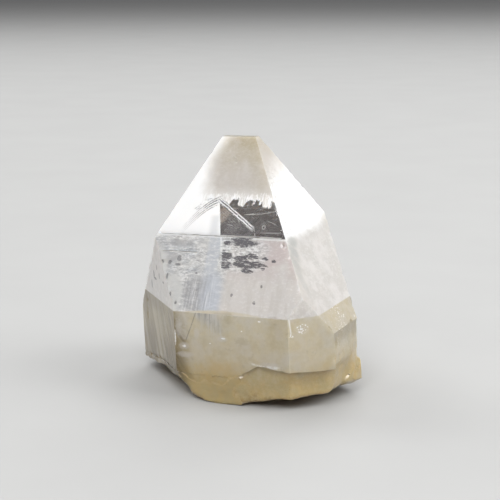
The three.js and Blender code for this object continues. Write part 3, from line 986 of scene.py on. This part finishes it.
def sort_faces(shape):
    """Gives every small triangle the finish of the crystal face that it lies on."""
    flat = [(way, farthest(shape, way), finish) for way, finish in
            ((PYRAMID["front"], FRONT), (PYRAMID["right"], RIGHT), (PYRAMID["back"], HIDDEN),
             (PYRAMID["left"], HIDDEN), (UP, HIDDEN))]
    striated = [(way, farthest(shape, way)) for way in UPRIGHT]
    for face in shape.faces:
        middle = face.calc_center_median()
        face.material_index = ROOT
        if (middle - AXIS_FOOT).dot(UP) > CRACKS_ABOVE:
            face.material_index = SHADE_PAINTED_WALL if face.normal.dot(UP) < -0.5 else LIGHT_PAINTED_WALL
        for way, reach, finish in flat:
            if face.normal.dot(way) > SAME_WAY and reach - middle.dot(way) < FLAT_SLACK:
                face.material_index = finish
        for way, reach in striated:
            upright = abs(face.normal.dot(UP)) < 0.2 and face.normal.dot(way) > STRIATED_WAY
            if upright and reach - middle.dot(way) < STRIATION_SLACK:
                face.material_index = UPRIGHTS
    for number, finish in enumerate(FINISHES):
        count = sum(face.material_index == number for face in shape.faces)
        print(count, "triangles of", finish.name)


# %% [markdown]
# ## Calmer striations, and a root that looks broken
#
# The CAD model's striations are deep enough to show in a plain solid. On the real crystal they
# are faint, and faintest in front, so their grooves are partly filled. The root is a break: its
# step fades out at the left, a spur ends it at the right, and the left foot stands out under a
# hollow. Smoothing the points there takes the cut look away, and noise along their normals then
# gives the lumps and ripples. Sculpting by hand would do as well, but a function gives the same
# root each time. Last come small chips along the long edges.

# %% Calm the striations
BACK_CLOSED = 0.45
FRONT_CLOSED = 0.93


def calm_striations(shape):
    """Fills each groove of the striated faces by a share of its depth, most of all in front."""
    for way in UPRIGHT:
        closed = FRONT_CLOSED if way.dot(facing(0)) > 0.5 else BACK_CLOSED
        reach = farthest(shape, way)
        groove = {vertex for face in shape.faces
                  if face.material_index == UPRIGHTS and face.normal.dot(way) > STRIATED_WAY
                  for vertex in face.verts}
        for vertex in groove:
            if all(face.material_index == UPRIGHTS for face in vertex.link_faces):
                depth = reach - vertex.co.dot(way)
                if depth < STRIATION_SLACK:
                    vertex.co += way * (depth * closed)


# %% Melt the ledge's left end and the spur
# Where the break runs into the faces with no ledge, and where the ledge itself runs out, as
# ranges in millimetres out in front of the axis, across and up
WORN_LEDGE = ((14.0, 30.0), (-30.0, 4.0), (1.0, 5.2))
LEDGE_END = ((11.0, 30.0), (-5.0, 6.0), (0.7, 6.8))
SPUR_START = 14.5 * MM
SPUR_TOP = 10.5 * MM
OVER_THE_FOOT = 0.3 * MM


def lies_in(stretch, point):
    """Whether a point lies in a stretch of the root."""
    place = (point - AXIS_FOOT) / MM
    found = (place.dot(facing(0)), place.dot(across(0)), place.dot(UP))
    return all(low < value < high for (low, high), value in zip(stretch, found))


def in_root(vertex):
    """Whether all the faces round a point belong to the root."""
    return all(face.material_index == ROOT for face in vertex.link_faces)


def melt(shape, soft_part, times):
    """Smooths the given part of the shape that many times."""
    for _ in range(times):
        bmesh.ops.smooth_vert(shape, verts=soft_part, factor=0.5, use_axis_x=True,
                              use_axis_y=True, use_axis_z=True)
    print("smoothed", len(soft_part), "points", times, "times")


def melt_ledge_end(shape):
    """Smooths the left end of the ledge, where the root's step runs out into the front."""
    end = [vertex for vertex in shape.verts
           if vertex.co.z > OVER_THE_FOOT and lies_in(LEDGE_END, vertex.co)]
    melt(shape, end, 30)


def melt_spur(shape):
    """Takes the cut look from the small spur at the right end of the root."""
    spur = [vertex for vertex in shape.verts
            if vertex.co.x > SPUR_START and OVER_THE_FOOT < vertex.co.z < SPUR_TOP
            and in_root(vertex)]
    melt(shape, spur, 14)


# %% Swell the left foot
FOOT_COMPASS = -34
FOOT_START = 3.0
FOOT_RAMP = 3.0
FOOT_HALF_WIDTH = 6.0
# Level, half height and reach outwards of the foot, and of the hollow over it
FOOT_SWELLINGS = ((0.8, 1.5, 2.3), (4.3, 0.9, -0.5))


def swell_foot(shape):
    """The front left foot stands out under a hollow."""
    out = facing(FOOT_COMPASS) * Vector((1, 1, 0))
    for vertex in shape.verts:
        place = (vertex.co - AXIS_FOOT) / MM
        beyond = place.dot(out) - FOOT_START
        if beyond > 0:
            aside = place.dot(across(FOOT_COMPASS)) / FOOT_HALF_WIDTH
            push = 0.0
            for level, half_height, reach in FOOT_SWELLINGS:
                over = (place.dot(UP) - level) / half_height
                push += math.exp(-aside * aside - over ** 2) * reach
            vertex.co += out * push * min(1.0, beyond / FOOT_RAMP) * MM


# %% Roughen the root
BARELY_UP = 0.05 * MM
LUMPS = 0.16
GRAINS = 0.07
RIPPLES = 0.12
WORN_AWAY = 0.1


def roughen_root(shape):
    """Rounds the root's flat triangles, then gives it the lumps and ripples of a break."""
    broken = [vertex for vertex in shape.verts if vertex.co.z > BARELY_UP
              and (in_root(vertex) or lies_in(WORN_LEDGE, vertex.co))]
    melt(shape, broken, 6)
    shape.normal_update()
    for vertex in broken:
        place = vertex.co / MM
        lumps = noise.noise(place * 0.45) * LUMPS + noise.noise(place * 1.3) * GRAINS
        ripple = (0.5 - abs(noise.noise(place * 0.8 + Vector((7, 3, 5))))) * RIPPLES
        vertex.co += vertex.normal * (lumps + ripple - WORN_AWAY) * MM
    shape.normal_update()


# %% Nick the edges
NICK_REACH = 0.7 * MM
NICK_DEPTH = 0.45
NICKS_ABOVE = 0.5 * MM
CREST_ANGLE = math.radians(15)


def crests(shape):
    """The edges at which two finishes meet at an angle."""
    return [edge for edge in shape.edges if len(edge.link_faces) == 2
            and len({face.material_index for face in edge.link_faces}) == 2
            and edge.calc_face_angle(0) > CREST_ANGLE]


def nick_edges(shape):
    """Small chips along the long edges, where a crystal is always hurt first."""
    ends = {vertex for edge in crests(shape) for vertex in edge.verts}
    tree = kdtree.KDTree(len(ends))
    for number, vertex in enumerate(ends):
        tree.insert(vertex.co, number)
    tree.balance()
    for vertex in shape.verts:
        _, _, distance = tree.find(vertex.co)
        near = 1 - distance / NICK_REACH
        if near > 0 and vertex.co.z > NICKS_ABOVE:
            hurt = max(0.0, noise.noise(vertex.co / MM * 0.9 + Vector((3, 8, 1))) - 0.15)
            vertex.co += vertex.normal * (-near * hurt * NICK_DEPTH * MM)
    shape.normal_update()


# %% Put the skin together
SHARP_ANGLE = math.radians(22)
BROKEN_SHARP_ANGLE = math.radians(55)


def soften(shape):
    """Smooth shading, but for the edges that bend sharply."""
    for edge in shape.edges:
        broken = all(face.material_index == ROOT for face in edge.link_faces)
        edge.smooth = edge.calc_face_angle(0) < (BROKEN_SHARP_ANGLE if broken else SHARP_ANGLE)
    for face in shape.faces:
        face.smooth = True


def crystal_skin():
    """The finely divided crystal with all its finishes."""
    shape = divided(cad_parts["crystal"])
    sort_faces(shape)
    for step in (calm_striations, melt_ledge_end, melt_spur, swell_foot, roughen_root,
                 nick_edges, soften):
        step(shape)
    mesh = bpy.data.meshes.new("crystal_skin")
    shape.to_mesh(mesh)
    shape.free()
    for finish in FINISHES:
        mesh.materials.append(finish)
    made = bpy.data.objects.new("crystal_skin", mesh)
    bpy.context.scene.collection.objects.link(made)
    return made


skin = crystal_skin()
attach(skin, "root")
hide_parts("crystal")
print("crystal skin:", len(skin.data.polygons), "triangles")

# %% [markdown]
# ## Floor and light
#
# A plain pale table and soft lights at every quarter, so that no side falls into the dark, with
# a wide one above. They are kept out of the directions in which the big faces would mirror them
# at the camera: only two weak ones stand there, to give those faces a sheen.

# %% Floor
FLOOR_SIZE = 6


def floor():
    """A pale table with a very faint mottle."""
    bpy.ops.mesh.primitive_plane_add(size=FLOOR_SIZE)
    made = bpy.context.object
    made.name = "floor"
    finish = Finish("pale table")
    mottle = finish.cloud(30.0, 3.0, 0.5)
    colour = finish.tint(tone(150, 150, 149), tone(156, 156, 155), mottle)
    board = finish.node("ShaderNodeBsdfPrincipled", None,
                        {"Base Color": colour, "Roughness": 0.75})
    finish.node("ShaderNodeOutputMaterial", None, {"Surface": board})
    made.data.materials.append(finish.material)


floor()
print("floor:", FLOOR_SIZE, "m square")


# %% Lights
def soft_light(name, compass, height_angle, power, distance=1.28, size=0.80):
    """A square soft box that points at the crystal from that direction, sizes in metres."""
    lamp = bpy.data.lights.new(name, "AREA")
    lamp.shape = "SQUARE"
    lamp.size = size
    lamp.energy = power
    made = bpy.data.objects.new(name, lamp)
    turn, rise = math.radians(compass), math.radians(height_angle)
    away = Vector((math.sin(turn) * math.cos(rise), -math.cos(turn) * math.cos(rise),
                   math.sin(rise)))
    made.location = AIM + away * distance
    made.rotation_euler = (-away).to_track_quat("-Z", "Y").to_euler()
    bpy.context.scene.collection.objects.link(made)
    print(name, "at", [round(value, 2) for value in made.location])


def lights():
    soft_light("light front left", -8, 46, 15.2)
    soft_light("light front right", 78, 40, 12.8)
    soft_light("light back right", 165, 45, 8.0)
    soft_light("light back left", -125, 35, 8.8)
    soft_light("light above", 0, 89, 19.0, distance=2.80, size=2.40)
    soft_light("sheen left", -62, 42, 3.5, distance=1.80, size=1.04)
    soft_light("sheen right", 131, 17, 4.2, distance=1.80, size=1.04)


def room():
    """A faint, even light from all round, and a plain view of the colours as they are set."""
    world = bpy.data.worlds.new("room")
    world.use_nodes = True
    background = world.node_tree.nodes["Background"]
    background.inputs["Color"].default_value = (0.30, 0.30, 0.31, 1)
    background.inputs["Strength"].default_value = 0.6
    bpy.context.scene.world = world
    bpy.context.scene.view_settings.view_transform = "Standard"


lights()
room()
